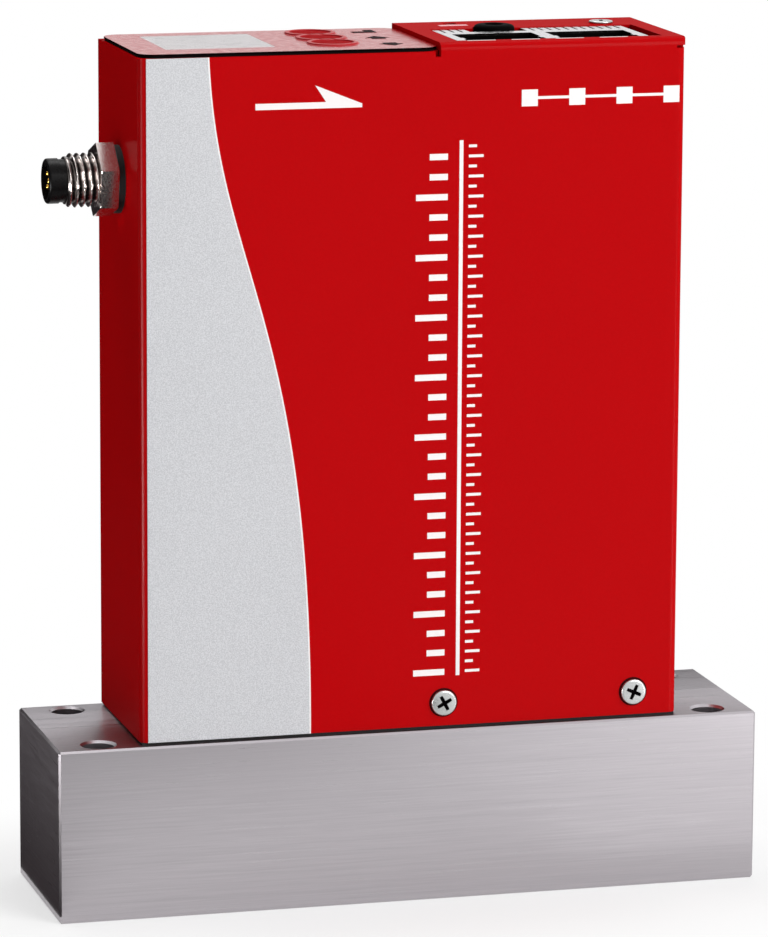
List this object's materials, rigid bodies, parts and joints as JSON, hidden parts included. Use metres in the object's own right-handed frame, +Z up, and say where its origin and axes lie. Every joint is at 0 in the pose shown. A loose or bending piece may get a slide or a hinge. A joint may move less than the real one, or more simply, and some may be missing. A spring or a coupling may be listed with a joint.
{
  "type": "mass flow controller",
  "caption": "Upright electronic gas mass flow controller: a slab-shaped red sheet-metal housing with display, keys and network jacks on top, standing on a stainless steel flow block.",
  "frame": {"origin": "middle of the flow block's base, on the surface that the ports open in", "axes": "+X along the flow from inlet to outlet, +Y from the labelled front to the back, +Z up"},
  "size_m": [0.105, 0.0286, 0.1261],
  "materials": {
    "stainless_ground": "ground and brushed stainless steel",
    "stainless_turned": "turned stainless steel",
    "stainless_spring": "rolled spring steel",
    "red_paint": "fine-textured satin red powder coat",
    "label_silver": "silver printed film, fine grain",
    "panel_red": "glossy red overlay",
    "panel_black": "black adhesive foam",
    "display_clear": "clear polyester window",
    "display_dark": "dark display glass in a black frame",
    "key_red": "satin red",
    "black_plastic": "moulded black plastic",
    "jack_tin": "tin-plated sheet",
    "gold": "gold-plated contact",
    "nickel": "nickel-plated brass",
    "black_rubber": "black rubber",
    "board_green": "green solder mask",
    "aluminium_sheet": "plain rolled aluminium",
    "screw_steel": "bright nickel-plated steel",
    "piezo_resin": "brown resin coat",
    "ceramic_white": "white ceramic",
    "wire_insulation": "white wire insulation",
    "flex_amber": "amber polyimide",
    "lens_clear": "smoked light pipe"
  },
  "bodies": {
    "housing": {"base_block": "stainless_ground", "board_headers": "black_plastic", "cap_screws": "stainless_turned", "casing_screws": "screw_steel", "chassis": "aluminium_sheet", "comms_board": "board_green", "display_board": "board_green", "display_module": "display_dark", "display_window": "display_clear", "flow_restrictor": "stainless_turned", "front_casing": "red_paint", "front_label": "label_silver", "jack_contacts": "gold", "jack_insert_1": "black_plastic", "jack_insert_2": "black_plastic", "jack_shield": "jack_tin", "main_board": "board_green", "main_board_parts": "black_plastic", "panel_film": "panel_red", "panel_spacer": "panel_black", "pcb_screws": "screw_steel", "pcb_standoffs": "nickel", "piezo_foot": "stainless_turned", "piezo_stack": "piezo_resin", "plug_gasket": "black_rubber", "plug_insert": "black_plastic", "plug_nut": "nickel", "plug_pins": "gold", "plug_shell": "nickel", "power_board": "board_green", "preload_nut": "stainless_turned", "preload_screw": "stainless_turned", "pressure_sensor_1": "stainless_turned", "pressure_sensor_2": "stainless_turned", "rear_cover": "red_paint", "restrictor_plug": "stainless_turned", "restrictor_seal": "nickel", "sensor_clamp_1": "stainless_turned", "sensor_clamp_2": "stainless_turned", "sensor_flexes": "flex_amber", "sensor_seals": "nickel", "service_jack": "black_plastic", "status_lens": "lens_clear", "tact_switches": "black_plastic", "thermistor": "stainless_turned", "valve_bonnet": "stainless_turned", "valve_cap": "stainless_turned", "valve_case": "stainless_turned", "valve_diaphragm": "stainless_spring", "valve_leads": "wire_insulation", "valve_plunger": "stainless_turned", "valve_seal": "nickel", "valve_seat": "stainless_turned", "valve_springs": "stainless_spring"},
    "key_1": {"key_cap_1": "key_red", "switch_plunger_1": "ceramic_white"},
    "key_2": {"key_cap_2": "key_red", "switch_plunger_2": "ceramic_white"},
    "key_3": {"key_cap_3": "key_red", "switch_plunger_3": "ceramic_white"}
  },
  "joints": [
    {"name": "key_1_press", "type": "slide", "parent": "housing", "child": "key_1", "axis": [0, 0, 1], "range_m": [-0.00025, 0], "stiffness_N_per_m": 6400},
    {"name": "key_2_press", "type": "slide", "parent": "housing", "child": "key_2", "axis": [0, 0, 1], "range_m": [-0.00025, 0], "stiffness_N_per_m": 6400},
    {"name": "key_3_press", "type": "slide", "parent": "housing", "child": "key_3", "axis": [0, 0, 1], "range_m": [-0.00025, 0], "stiffness_N_per_m": 6400}
  ]
}
